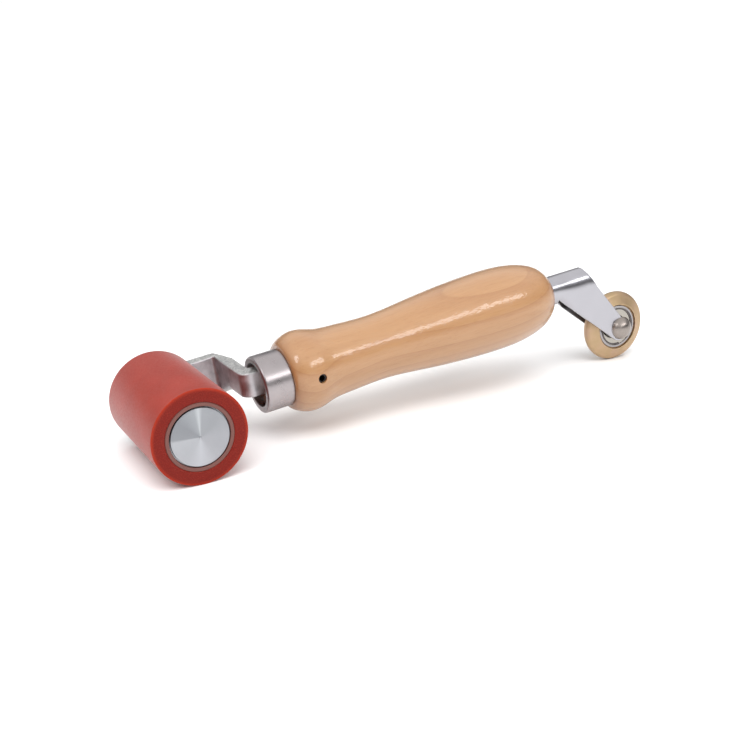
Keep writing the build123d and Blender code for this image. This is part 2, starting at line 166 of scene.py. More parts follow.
FLAT_CURL = 1e-6               # a sheet that curls less than this is flat
UPPER_FACING = 0.75            # faces of the flattened sheet that look this much up are its inside
PENNY_TREAD = 2.4
TREAD_STEPS = 28
PENNY_HUB = 10.3
BORE_RELIEF = 0.38             # the wheel's bore is opened out a little at both faces
RELIEF_DEPTH = 1.0
MOUTH_EDGE = 0.05
HUB_EDGE = 0.3
SNAP_WIRE = 0.6
WIRE_PLAY = 0.2
WIRE_EDGE = 0.12
SNAP_GAP = (62.0, 34.0)        # its middle and width, in degrees
RIVET_RADIUS = 3.0
HEAD_HEIGHT = 3.6
TAIL_HEIGHT = 1.8
TAIL_RADIUS = 4.2

# ---- lengths along the straightened bar from its eye, and round the tube ----
BEND_LENGTH = math.pi / 2 * BEND_MIDDLE
FIRST_BEND = WEB_INNER - BEND_INNER
WEB_START = FIRST_BEND + BEND_LENGTH
SECOND_BEND = WEB_START + ARM_INNER - BEND_INNER - (TANG_FAR + BEND_INNER)
TANG_START = SECOND_BEND + BEND_LENGTH
QUARTER_TUBE = TUBE_RADIUS * math.pi / 2
SHEET_TOP = HANDLE_RISE + TUBE_RADIUS

# ---- places, from the frame ----
joint_place = {joint["name"]: Vector(joint["pos_m"]) for joint in frame["joints"]}
mounts = {mount["name"]: mount for mount in frame["record"]["mounts"]}
ROLLER = joint_place["press_roller_spin"]
PENNY = joint_place["penny_wheel_spin"]
ALONG = Vector(mounts["grip"]["axis"]).normalized()
ACROSS = Vector((0, 1, 0))
UP = ALONG.cross(ACROSS)
# on the handle's axis, beside the roller's axle
HANDLE = ROLLER + (ACROSS * HANDLE_SIDE + UP * HANDLE_RISE) * MM


def span(node, centre):
    """Start, end and radius of a CAD node turned about a wheel's axis, in millimetres from its centre."""
    low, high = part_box(node)
    return (low.y - centre.y) / MM, (high.y - centre.y) / MM, (high.x - low.x) / 2 / MM


def axes(x_axis, y_axis, z_axis, origin):
    """The placement of a piece whose own axes point these ways."""
    return Matrix.Translation(origin) @ Matrix((x_axis, y_axis, z_axis)).transposed().to_4x4()


TOOL_PLACE = axes(ALONG, ACROSS, UP, ROLLER)
HANDLE_PLACE = axes(UP, -ACROSS, ALONG, HANDLE)
PIN_PLACE = axes(ALONG, -UP, ACROSS, HANDLE + (ALONG * PIN_X + UP * PIN_RISE) * MM)


def wheel_place(centre):
    """Turned pieces on a wheel: their local z is the axle, towards the arm."""
    return axes(Vector((1, 0, 0)), Vector((0, 0, -1)), ACROSS, centre)


# ---- mesh helpers ----
def add_object(name, data):
    """A new object in the scene."""
    made = bpy.data.objects.new(name, data)
    bpy.context.scene.collection.objects.link(made)
    return made


def make_piece(name, build, place, slot_name, sharp_degrees):
    """A smooth-shaded object from a bmesh in millimetres."""
    bmesh.ops.remove_doubles(build, verts=build.verts, dist=WELD)
    bmesh.ops.recalc_face_normals(build, faces=build.faces)
    bmesh.ops.scale(build, vec=(MM, MM, MM), verts=build.verts)
    mesh = bpy.data.meshes.new(name)
    build.to_mesh(mesh)
    build.free()
    mesh.shade_smooth()
    mesh.set_sharp_from_angle(angle=math.radians(sharp_degrees))
    mesh.materials.append(finish[slot_name])
    piece = add_object(name, mesh)
    piece.matrix_world = place
    return piece


def dress(piece, body, *nodes):
    """The piece rides on a body and stands for its CAD nodes."""
    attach(piece, body)
    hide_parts(*nodes)


def arc(centre, radius, start, finish, steps):
    """Points on an arc, with its angles in degrees."""
    points = []
    for step in range(steps + 1):
        angle = math.radians(start + (finish - start) * step / steps)
        points.append((centre[0] + radius * math.cos(angle), centre[1] + radius * math.sin(angle)))
    return points


def round_corners(corners, steps=CORNER_STEPS):
    """Corners of a closed outline are (x, y) or (x, y, rounding); each rounding becomes an arc."""
    points = []
    count = len(corners)
    for index, corner in enumerate(corners):
        here = Vector(corner[:2])
        rounding = corner[2] if len(corner) > 2 else 0
        if not rounding:
            points.append(tuple(here))
            continue
        back = (Vector(corners[index - 1][:2]) - here).normalized()
        ahead = (Vector(corners[(index + 1) % count][:2]) - here).normalized()
        half = back.angle(ahead) / 2
        centre = here + (back + ahead).normalized() * (rounding / math.sin(half))
        start = here + back * (rounding / math.tan(half)) - centre
        end = here + ahead * (rounding / math.tan(half)) - centre
        swing = start.angle_signed(end)
        for step in range(steps + 1):
            spoke = start.copy()
            spoke.rotate(Matrix.Rotation(-swing * step / steps, 2))
            points.append(tuple(centre + spoke))
    return points


def turn(name, profile, place, slot_name, gap=None, sharp_degrees=SHARP_DEGREES):
    """A turned piece from a closed profile of (place along local z, radius).

    A gap is the middle and the width, in degrees, of what is left open.
    """
    sweep = 2 * math.pi
    start = 0.0
    rings = TURNED_STEPS
    if gap:
        sweep -= math.radians(gap[1])
        start = math.radians(gap[0] + gap[1] / 2)
        rings += 1
    build = bmesh.new()
    loops = []
    for ring in range(rings):
        angle = start + sweep * ring / TURNED_STEPS
        loops.append([build.verts.new((r * math.cos(angle), r * math.sin(angle), z)) for z, r in profile])
    for ring in range(TURNED_STEPS):
        here = loops[ring]
        there = loops[(ring + 1) % rings]
        for index in range(len(profile)):
            after = (index + 1) % len(profile)
            if profile[index][1] or profile[after][1]:
                build.faces.new((here[index], here[after], there[after], there[index]))
    if gap:
        build.faces.new(loops[0])
        build.faces.new(loops[-1])
    return make_piece(name, build, place, slot_name, sharp_degrees)


def ring_profile(start, end, inner, outer, rounding=0.15):
    """Cross section of a plain ring with rounded edges."""
    return round_corners(
        [(start, inner, rounding), (start, outer, rounding), (end, outer, rounding), (end, inner, rounding)]
    )


def dome(base, direction, height, radius):
    """A rivet head's profile, from its pole to its rim."""
    sphere = (radius**2 + height**2) / (2 * height)
    full = math.asin(radius / sphere)
    points = []
    for angle in spaced(0, full, DOME_STEPS):
        fall = sphere * (1 - math.cos(angle))
        points.append((base + direction * (height - fall), sphere * math.sin(angle)))
    return points


def slab(outline, thickness, rounding, bends_x, bends_y, bends_z=()):
    """A flat plate from z 0 to thickness with rounded rims, divided at the bends so that it can be bent."""
    build = bmesh.new()
    face = build.faces.new([build.verts.new((x, y, 0)) for x, y in outline])
    raised = bmesh.ops.extrude_face_region(build, geom=[face])
    upper = [part for part in raised["geom"] if isinstance(part, bmesh.types.BMVert)]
    bmesh.ops.translate(build, vec=(0, 0, thickness), verts=upper)
    bmesh.ops.recalc_face_normals(build, faces=build.faces)
    rims = [edge for edge in build.edges if abs(edge.verts[0].co.z - edge.verts[1].co.z) < thickness / 2]
    bmesh.ops.bevel(build, geom=rims, offset=rounding, segments=4, profile=0.5, affect="EDGES")
    for axis, places in zip(Matrix.Identity(3), (bends_x, bends_y, bends_z)):
        for place in places:
            parts = list(build.verts) + list(build.edges) + list(build.faces)
            bmesh.ops.bisect_plane(build, geom=parts, plane_co=axis * place, plane_no=axis)
    return build


def spaced(start, end, steps):
    """Evenly spaced numbers from start to end."""
    return [start + (end - start) * step / steps for step in range(steps + 1)]


def cut(piece, cutter):
    """Takes the cutter's shape out of the piece, and removes the cutter."""
    change = piece.modifiers.new("cut", "BOOLEAN")
    change.operation = "DIFFERENCE"
    change.solver = "EXACT"
    change.object = cutter
    bpy.context.view_layer.update()
    graph = bpy.context.evaluated_depsgraph_get()
    result = bpy.data.meshes.new_from_object(piece.evaluated_get(graph))
    piece.modifiers.clear()
    piece.data = result
    result.set_sharp_from_angle(angle=math.radians(SHARP_DEGREES))
    bpy.data.objects.remove(cutter)


# ---- material helpers ----
def new_material(name, color, metallic, roughness, **sockets):
    """A material, its node tree and its surface shader; sockets are the shader's, with _ for a space."""
    material = bpy.data.materials.new(name)
    material.use_nodes = True
    tree = material.node_tree
    surface = tree.nodes["Principled BSDF"]
    surface.inputs["Base Color"].default_value = (*color, 1)
    surface.inputs["Metallic"].default_value = metallic
    surface.inputs["Roughness"].default_value = roughness
    for socket, value in sockets.items():
        surface.inputs[socket.replace("_", " ")].default_value = value
    return material, tree, surface


def add_node(tree, kind, settings=None, **inputs):
    """Adds a shader node; inputs are values or other nodes' outputs, by socket name or as i and a number."""
    node = tree.nodes.new(kind)
    for key, value in (settings or {}).items():
        setattr(node, key, value)
    for key, value in inputs.items():
        numbered = key[0] == "i" and key[1:].isdigit()
        socket = node.inputs[int(key[1:]) if numbered else key.replace("_", " ")]
        if isinstance(value, bpy.types.NodeSocket):
            tree.links.new(value, socket)
        else:
            socket.default_value = value
    return node


def object_place(tree, scale=(1, 1, 1), turn_by=(0, 0, 0), shift=(0, 0, 0), along_handle=False):
    """Object coordinates in millimetres, stretched by scale, then turned and shifted.

    Along the handle, local z is first turned to the handle's axis.
    """
    place = add_node(tree, "ShaderNodeTexCoord").outputs["Object"]
    if along_handle:
        to_grain = HANDLE_PLACE.to_3x3().transposed().to_euler()
        turned = add_node(
            tree, "ShaderNodeVectorRotate", {"rotation_type": "EULER_XYZ"}, Vector=place, Rotation=to_grain
        )
        place = turned.outputs["Vector"]
    mapping = add_node(tree, "ShaderNodeMapping", None, Vector=place)
    mapping.inputs["Scale"].default_value = tuple(factor / MM for factor in scale)
    mapping.inputs["Rotation"].default_value = turn_by
    mapping.inputs["Location"].default_value = shift
    return mapping.outputs["Vector"]


def noise(tree, place, scale, detail, roughness=0.5):
    """Cloudy noise from 0 to 1, mostly 0.3 to 0.7, with scale as its cycles in a millimetre."""
    made = add_node(
        tree, "ShaderNodeTexNoise", None, Vector=place, Scale=scale, Detail=detail, Roughness=roughness
    )
    return made.outputs["Fac"]


def blend_colors(tree, factor, stops):
    """A colour ramp from a factor; stops are (place, colour)."""
    ramp = add_node(tree, "ShaderNodeValToRGB", None, Fac=factor)
    elements = ramp.color_ramp.elements
    while len(elements) < len(stops):
        elements.new(0.5)
    for element, (place, color) in zip(elements, stops):
        element.position = place
        element.color = (*color, 1)
    return ramp.outputs["Color"]


def spread(tree, factor, low, high, start=0.3, finish=0.7):
    """Maps start..finish of a factor, which is most of a noise's reach, to low..high."""
    made = add_node(
        tree, "ShaderNodeMapRange", None,
        Value=factor, From_Min=start, From_Max=finish, To_Min=low, To_Max=high,
    )
    return made.outputs["Result"]


def paint(tree, surface, color):
    """Gives the surface its colour, from another node."""
    tree.links.new(color, surface.inputs["Base Color"])


def vary_roughness(tree, surface, factor, low, high):
    """Roughness that follows a noise factor."""
    tree.links.new(spread(tree, factor, low, high), surface.inputs["Roughness"])


def add_bump(tree, surface, height, distance, strength=1.0, socket="Normal"):
    """Bump up to a distance in millimetres, on the surface or on its coat."""
    bump = add_node(tree, "ShaderNodeBump", None, Height=height, Distance=distance * MM, Strength=strength)
    tree.links.new(bump.outputs["Normal"], surface.inputs[socket])


def multiply(tree, amount, color, tint):
    """The colour, multiplied by a tint as far as the amount says."""
    mix = add_node(
        tree, "ShaderNodeMix", {"data_type": "RGBA", "blend_type": "MULTIPLY"},
        Factor=amount, i6=color, i7=(*tint, 1),
    )
    return mix.outputs[2]


def distance_from_axis(tree, place):
    """Distance from local z, in millimetres."""
    flat = add_node(tree, "ShaderNodeVectorMath", {"operation": "MULTIPLY"}, i0=place, i1=(1, 1, 0))
    length = add_node(tree, "ShaderNodeVectorMath", {"operation": "LENGTH"}, i0=flat.outputs["Vector"])
    return length.outputs["Value"]


def ring_noise(tree, lines_per_mm):
    """Noise that depends only on the distance from local z, as turning leaves it."""
    made = add_node(
        tree, "ShaderNodeTexNoise", {"noise_dimensions": "1D"},
        W=distance_from_axis(tree, object_place(tree)), Scale=lines_per_mm, Detail=2.0,
    )
    return made.outputs["Fac"]


def ringed_tangent(tree, surface):
    """Stretches reflections round local z, as turned metal does."""
    tangent = add_node(tree, "ShaderNodeTangent", {"direction_type": "RADIAL", "axis": "Z"})
    tree.links.new(tangent.outputs["Tangent"], surface.inputs["Tangent"])


# ---- materials ----
def silicone():
    """Moulded red silicone, with a soft sheen."""
    material, tree, surface = new_material(
        "silicone", (0.30, 0.029, 0.016), metallic=0, roughness=0.45, Specular_IOR_Level=0.45,
        Subsurface_Weight=0.25, Subsurface_Radius=(1.0, 0.15, 0.1), Subsurface_Scale=0.8 * MM,
        Sheen_Weight=0.11, Sheen_Roughness=0.4, Sheen_Tint=(1.0, 0.8, 0.8, 1),
    )
    place = object_place(tree)
    clouds = noise(tree, place, scale=0.09, detail=2)
    color = blend_colors(tree, clouds, [(0.3, (0.275, 0.026, 0.014)), (0.7, (0.315, 0.031, 0.017))])
    paint(tree, surface, color)
    dust = noise(tree, place, scale=1.3, detail=4, roughness=0.6)
    vary_roughness(tree, surface, dust, 0.38, 0.52)
    add_bump(tree, surface, dust, distance=0.03, strength=0.5)
    return material


def sliced_silicone_painted_shade():
    """The sleeve's cut ends: duller, with specks; their colour is darker as painted shade, and lighter near the
    rim as a painted glow of light through its thin edge.
    """
    material, tree, surface = new_material(
        "silicone_cut_painted_shade", (0.22, 0.018, 0.011), metallic=0, roughness=0.55, Specular_IOR_Level=0.12,
        Subsurface_Weight=0.25, Subsurface_Radius=(1.0, 0.15, 0.1), Subsurface_Scale=0.8 * MM,
    )
    place = object_place(tree)
    specks = noise(tree, place, scale=2.4, detail=2)
    # painted shade: the cut ends are coloured darker than the sleeve's side, for the lesser light that falls on
    # them
    cut_face_painted_dark = blend_colors(
        tree, specks,
        [(0.33, (0.155, 0.011, 0.007)), (0.5, (0.180, 0.014, 0.009)), (0.74, (0.26, 0.030, 0.019))],
    )
    # painted glow: the colour lightens towards the rim, standing in for light shining through the thin edge
    radius = span("silicone_sleeve", ROLLER)[2]
    rim = spread(
        tree, distance_from_axis(tree, place), low=0.0, high=0.8, start=radius - 1.3, finish=radius - 0.2
    )
    color = add_node(
        tree, "ShaderNodeMix", {"data_type": "RGBA"}, Factor=rim, i6=cut_face_painted_dark, i7=(0.38, 0.034, 0.013, 1)
    )
    paint(tree, surface, color.outputs[2])
    vary_roughness(tree, surface, specks, 0.48, 0.62)
    add_bump(tree, surface, specks, distance=0.02, strength=0.5)
    return material


def faced_steel():
    """A faced disc: fine rings, and a painted reflection: the lighter and darker sectors and the bright streak
    that light makes on its lathe-turned face are painted into its colour.
    """
    material, tree, surface = new_material(
        "turned_steel", (0.40, 0.41, 0.435), metallic=1, roughness=0.40, Anisotropic=0.7
    )
    place = object_place(tree)
    around = add_node(tree, "ShaderNodeTexGradient", {"gradient_type": "RADIAL"}, Vector=place)
    # painted reflection: sectors of lighter and darker colour, with a bright streak, stand in for the lamps' sheen
    # on the turned face
    sheen = blend_colors(
        tree, around.outputs["Fac"],
        [
            (0.0, (0.44, 0.45, 0.475)), (0.018, (0.29, 0.30, 0.32)), (0.12, (0.27, 0.28, 0.30)),
            (0.225, (0.33, 0.345, 0.365)), (0.25, (0.48, 0.50, 0.52)), (0.275, (0.33, 0.34, 0.36)),
            (0.40, (0.34, 0.35, 0.37)), (0.52, (0.38, 0.385, 0.41)), (0.66, (0.39, 0.395, 0.42)),
            (0.76, (0.47, 0.48, 0.51)), (0.84, (0.43, 0.44, 0.465)), (1.0, (0.44, 0.45, 0.475)),
        ],
    )
    paint(tree, surface, sheen)
    rings = ring_noise(tree, lines_per_mm=6.0)
    vary_roughness(tree, surface, rings, 0.34, 0.46)
    add_bump(tree, surface, rings, distance=0.002)
    ringed_tangent(tree, surface)
    return material


def turned_metal(name, color, roughness, metallic=1.0):
    """Turned metal, with the tool's fine rings in its gloss."""
    material, tree, surface = new_material(name, color, metallic, roughness)
    rings = ring_noise(tree, lines_per_mm=5.0)
    vary_roughness(tree, surface, rings, roughness * 0.8, roughness * 1.25)
    add_bump(tree, surface, rings, distance=0.004)
    return material


def plain_metal(name, color, roughness, grain=0.35, depth=0.006, tone=0.08):
    """Ground, plated or polished metal: faint patches of tone and a fine grain."""
    material, tree, surface = new_material(name, color, metallic=1, roughness=roughness)
    place = object_place(tree)
    patches = noise(tree, place, scale=grain, detail=4)
    dark = tuple(value * (1 - tone) for value in color)
    light = tuple(min(1, value * (1 + tone)) for value in color)
    paint(tree, surface, blend_colors(tree, patches, [(0.3, dark), (0.7, light)]))
    vary_roughness(tree, surface, patches, roughness * 0.8, roughness * 1.3)
    fine = noise(tree, place, scale=grain * 9, detail=3)
    add_bump(tree, surface, fine, distance=depth)
    return material


def growth_rings(tree):
    """The log's rings, cut lengthways a little off the pith: a slow change of tone, then a dark line."""
    tilted = object_place(tree, turn_by=(0.07, 0.035, 0.0), shift=(34, 22, 0), along_handle=True)
    rings = add_node(
        tree, "ShaderNodeTexWave", {"wave_type": "RINGS", "rings_direction": "Z", "wave_profile": "SAW"},
        Vector=tilted, Scale=0.062, Distortion=7.0, Detail=2.0, Detail_Scale=0.03, Detail_Roughness=0.6,
    )
    return blend_colors(
        tree, rings.outputs["Fac"],
        [
            (0.0, (0.422, 0.225, 0.099)), (0.55, (0.418, 0.222, 0.097)), (0.90, (0.390, 0.199, 0.085)),
            (0.97, (0.373, 0.186, 0.078)), (1.0, (0.420, 0.224, 0.098)),
        ],
    )


def wood_noise(tree, scale, detail, roughness):
    """Noise stretched by a scale whose z is the grain's direction."""
    return noise(tree, object_place(tree, scale, along_handle=True), 1.0, detail, roughness)


def facing_along_handle(tree):
    """How squarely the surface faces along the handle; the wood's colour is made darker there."""
    facing = add_node(tree, "ShaderNodeTexCoord").outputs["Normal"]
    along = add_node(tree, "ShaderNodeVectorMath", {"operation": "DOT_PRODUCT"}, i0=facing, i1=ALONG)
    either_end = add_node(tree, "ShaderNodeMath", {"operation": "ABSOLUTE"}, i0=along.outputs["Value"])
    return either_end.outputs["Value"]


def varnished_wood():
    """Pale beech under varnish: growth rings, streaks, fine flecks, and a coat that isn't quite level."""
    material, tree, surface = new_material(
        "varnished_wood", (0.49, 0.275, 0.135), metallic=0, roughness=0.4,
        Coat_Weight=1.0, Coat_Roughness=0.08, Coat_IOR=1.5,
        Subsurface_Weight=0.06, Subsurface_Radius=(1.0, 0.5, 0.25), Subsurface_Scale=0.8 * MM,
    )
    streaks = wood_noise(tree, scale=(0.45, 0.45, 0.012), detail=4, roughness=0.6)
    streaked = spread(tree, streaks, low=0.0, high=0.55, start=0.35, finish=0.7)
    color = multiply(tree, streaked, growth_rings(tree), (0.86, 0.79, 0.70))
    pores = wood_noise(tree, scale=(2.6, 2.6, 0.16), detail=4, roughness=0.65)
    flecked = spread(tree, pores, low=0.0, high=0.30, start=0.52, finish=0.72)
    color = multiply(tree, flecked, color, (0.66, 0.50, 0.36))
    # the colour darkens where the surface faces along the handle
    darkened_facing_along = spread(tree, facing_along_handle(tree), low=0.0, high=0.8, start=0.35, finish=0.95)
    color = multiply(tree, darkened_facing_along, color, (0.70, 0.52, 0.38))
    paint(tree, surface, color)
    add_bump(tree, surface, pores, distance=0.004, strength=0.6)
    ripples = wood_noise(tree, scale=(0.6, 0.6, 0.35), detail=2, roughness=0.55)
    add_bump(tree, surface, ripples, distance=0.14, socket="Coat Normal")
    return material


def brass():
    """Turned brass that has dulled unevenly."""
    material, tree, surface = new_material("brass", (0.56, 0.39, 0.28), metallic=1, roughness=0.42)
    place = object_place(tree)
    patches = noise(tree, place, scale=0.16, detail=3)
    color = blend_colors(
        tree, patches, [(0.30, (0.48, 0.35, 0.205)), (0.5, (0.52, 0.37, 0.235)), (0.72, (0.55, 0.38, 0.28))]
    )
    paint(tree, surface, color)
    rings = ring_noise(tree, lines_per_mm=4.0)
    vary_roughness(tree, surface, rings, 0.44, 0.56)
    add_bump(tree, surface, rings, distance=0.005)
    return material


def sheared_zinc():
    """The bar's sheared edges: rough and patchy under the plating."""
    material, tree, surface = new_material("sheared_zinc", (0.62, 0.62, 0.61), metallic=1, roughness=0.55)
    place = object_place(tree, scale=(1, 1, 0.4))
    grit = noise(tree, place, scale=1.6, detail=5, roughness=0.65)
    color = blend_colors(tree, grit, [(0.35, (0.42, 0.42, 0.42)), (0.65, (0.78, 0.78, 0.76))])
    paint(tree, surface, color)
    vary_roughness(tree, surface, grit, 0.40, 0.68)
    add_bump(tree, surface, grit, distance=0.12)
    return material


def moulded_plastic(name, color):
    """Plastic with a faint moulded grain."""
    material, tree, surface = new_material(name, color, metallic=0, roughness=0.45)
    add_bump(tree, surface, noise(tree, object_place(tree), scale=2.0, detail=3), distance=0.01)
    return material


finish = {
    "silicone": silicone(),
    "silicone_cut_painted_shade": sliced_silicone_painted_shade(),
    "core_steel": turned_metal("core_steel", (0.17, 0.07, 0.058), 0.45, metallic=0.35),
    "turned_steel": faced_steel(),
    "cage_nylon": moulded_plastic("cage_nylon", (0.72, 0.66, 0.50)),
    "ball_steel": plain_metal("ball_steel", (0.80, 0.80, 0.81), 0.08),
    "shield_steel": turned_metal("shield_steel", (0.40, 0.375, 0.335), 0.17),
    # spring steel, darkened past its own tone as painted shade for the shadow in the recess round the snap rings
    "spring_steel": plain_metal("spring_steel", (0.13, 0.115, 0.115), 0.30, grain=0.8),
    "blackened_steel": plain_metal("blackened_steel", (0.06, 0.055, 0.055), 0.38, grain=0.8),
    "bearing_steel": turned_metal("bearing_steel", (0.35, 0.33, 0.335), 0.22),
    "zinc_plate": plain_metal("zinc_plate", (0.58, 0.555, 0.575), 0.46, grain=0.25, depth=0.04, tone=0.25),
    "sheared_zinc": sheared_zinc(),
    "ferrule_steel": plain_metal(
        "ferrule_steel", (0.39, 0.355, 0.36), 0.29, grain=0.2, depth=0.004, tone=0.06
    ),
    "varnished_wood": varnished_wood(),
    "bright_chrome": plain_metal(
        "bright_chrome", (0.445, 0.438, 0.468), 0.21, grain=0.15, depth=0.002, tone=0.03
    ),
    # painted shade: the inside of the fork's sheet is coloured nearly black, for the dark it sits in and reflects
    "inner_chrome_painted_shade": plain_metal(
        "inner_chrome_painted_shade", (0.12, 0.115, 0.12), 0.42, grain=0.3, depth=0.02, tone=0.15
    ),
    "brass": brass(),
    "rivet_steel": plain_metal("rivet_steel", (0.33, 0.29, 0.265), 0.31, grain=0.4),
    "spacer_steel": turned_metal("spacer_steel", (0.40, 0.39, 0.39), 0.28),
}
slots = {part["node"]: part["material_slot"] for part in frame["record"]["subparts"]}
for node_name, node_object in frame["nodes"].items():
    node_object.data.materials.clear()
    node_object.data.materials.append(finish[slots[node_name]])


# ---- pieces ----
def make_press_roller():
    """The silicone sleeve with its cut ends, the core whose ends show, and the turned cap."""
    place = wheel_place(ROLLER)
    start, end, radius = span("silicone_sleeve", ROLLER)
    profile = ring_profile(start, end, CORE_RADIUS, radius, RIM_ROUND)
    sleeve = turn("silicone_look", profile, place, "silicone")
    sleeve.data.materials.append(finish["silicone_cut_painted_shade"])
    # the end faces get the second material, with its painted shade
    for polygon in sleeve.data.polygons:
        polygon.material_index = 1 if abs(polygon.normal.z) > END_FACING else 0
    dress(sleeve, "press_roller", "silicone_sleeve")
    profile = ring_profile(start, end, CORE_BORE, CORE_RADIUS - PLAY, RIM_ROUND)
    dress(turn("core_look", profile, place, "core_steel"), "press_roller", "roller_core")
    cap_start, cap_end, band_radius = span("end_cap", ROLLER)
    step = cap_start + CAP_FACE_THICKNESS
    flat_end = CAP_FACE_RADIUS - CAP_EDGE
    profile = [(cap_start + depth, pip_radius) for depth, pip_radius in CAP_PIP]
    profile += [(cap_start, ring_radius) for ring_radius in spaced(CAP_FLAT_START, flat_end, CAP_FLAT_RINGS)]
    profile += arc((cap_start + CAP_EDGE, flat_end), CAP_EDGE, 180, 90, CORNER_STEPS)
    profile += [(step, CAP_FACE_RADIUS), (step, band_radius), (cap_end, band_radius), (cap_end, 0)]
    cap = turn("cap_look", profile, place, "turned_steel", sharp_degrees=30)
    dress(cap, "press_roller", "end_cap")


def make_axle():
    """The stud that the press roller turns on, and the collars on it."""
    place = wheel_place(ROLLER)
    start, end, head_radius = span("axle_stud", ROLLER)
    head_base = end - AXLE_HEAD_HEIGHT
    profile = dome(head_base, 1, AXLE_HEAD_HEIGHT, head_radius)
    profile += [(head_base, AXLE_RADIUS), (start + AXLE_TIP, AXLE_RADIUS)]
    profile += [(start, AXLE_RADIUS - AXLE_TIP), (start, 0)]
    dress(turn("axle_look", profile, place, "bearing_steel"), "frame", "axle_stud")
    for node in ("arm_spacer", "bearing_spacer"):
        start, end, radius = span(node, ROLLER)
        profile = ring_profile(start, end, AXLE_RADIUS + PLAY, radius, SPACER_EDGE)
        dress(turn(node + "_look", profile, place, "spacer_steel"), "frame", node)


def make_bearing(prefix, size, centre, outer_body):
    """The rings and shields that show at a bearing's faces."""
    place = wheel_place(centre)
    start, end, radius = span(prefix + "_outer_ring", centre)
    land, seat, inner_land, bore = size
    depth = SHIELD_DEPTH + SHIELD_THICKNESS
    corners = [
        (start, seat, THIN_EDGE), (start, radius, RING_EDGE), (end, radius, RING_EDGE),
        (end, seat, THIN_EDGE), (end - depth, seat), (end - depth, land), (start + depth, land),
        (start + depth, seat),
    ]
    outer = turn(prefix + "_outer_look", round_corners(corners), place, "bearing_steel")
    dress(outer, outer_body, prefix + "_outer_ring")
    inner_profile = ring_profile(start, end, bore, inner_land, RING_EDGE)
    inner = turn(prefix + "_inner_look", inner_profile, place, "bearing_steel")
    dress(inner, "frame", prefix + "_inner_ring")
    for face in ("near", "far"):
        node = prefix + "_shield_" + face
        shield_start, shield_end, shield_radius = span(node, centre)
        profile = ring_profile(shield_start, shield_end, inner_land + SHIELD_GAP, shield_radius, THIN_EDGE)
        shield = turn(node + "_look", profile, place, "shield_steel")
        dress(shield, outer_body, node)


def bend_reach(angle):
    """Distance from a bend's centre to the outside of the bar, at an angle in radians into the bend."""
    straight = (BEND_INNER + BAR) / max(math.sin(angle), math.cos(angle))
    corner = BEND_INNER + BAR - BEND_OUTER
    along = corner * (math.sin(angle) + math.cos(angle))
    if min(math.sin(angle), math.cos(angle)) * straight <= corner:
        return straight
    return along + math.sqrt(along**2 - 2 * corner**2 + BEND_OUTER**2)


def bar_place(along, rise, through):
    """Where a point of the straightened bar goes once the bar is cranked, in the tool's axes."""
    share = through / BAR
    centre_y = ARM_INNER - BEND_INNER
    if along <= FIRST_BEND:
        return Vector((along, ARM_INNER + through, rise))
    if along <= WEB_START:
        angle = (along - FIRST_BEND) / BEND_MIDDLE
        reach = BEND_INNER + share * (bend_reach(angle) - BEND_INNER)
        return Vector((FIRST_BEND + reach * math.sin(angle), centre_y + reach * math.cos(angle), rise))
    if along <= SECOND_BEND:
        return Vector((WEB_INNER + through, centre_y - (along - WEB_START), rise))
    start = WEB_INNER + BAR + BEND_INNER
    centre_y = TANG_FAR + BEND_INNER
    if along <= TANG_START:
        angle = (along - SECOND_BEND) / BEND_MIDDLE
        reach = bend_reach(angle) - share * (bend_reach(angle) - BEND_INNER)
        return Vector((start - reach * math.cos(angle), centre_y - reach * math.sin(angle), rise))
    return Vector((start + along - TANG_START, TANG_FAR - BAR + through, rise))


def draw_in(point):
    """Narrows the bar outside its first bend, and swells it at the inner corners, as cold bending does."""
    flat = Vector(point[:2])
    start = Vector((BEVEL_FAR_X, ARM_INNER + BAR))
    line = (Vector((WEB_INNER + BAR, BEVEL_WEB_Y)) - start).normalized()
    outside = Vector((-line.y, line.x)).dot(flat - start)
    swell = 0
    for corner in ((WEB_INNER, ARM_INNER), (WEB_INNER + BAR, TANG_FAR)):
        distance = (flat - Vector(corner)).length
        swell += SWELL * math.exp(-((distance / SWELL_REACH) ** 2))
    share = max(0, abs(point.z) - EYE_RADIUS / 2) / (EYE_RADIUS / 2)
    rise = abs(point.z) + (swell + SHEAR_WAVE * hills.noise(point * SHEAR_WAVES_PER_MM)) * share
    if outside > 0 and flat.y > BEVEL_WEB_Y:
        rise = min(rise, EYE_RADIUS - outside)
    point.z = math.copysign(rise, point.z)
    return point


def bar_outline():
    """The straightened bar: a round eye, a web that is relieved below, and the tang."""
    end = TANG_START + TANG_END - (WEB_INNER + BAR + BEND_INNER)
    web_zero = WEB_START + ARM_INNER - BEND_INNER
    outline = arc((0, 0), EYE_RADIUS, 270, 90, EYE_STEPS)
    outline += [(end, EYE_RADIUS), (end, BAR_BOTTOM)]
    outline += [(web_zero - RELIEF_START_Y, BAR_BOTTOM), (web_zero - RELIEF_END_Y, -EYE_RADIUS)]
    return outline


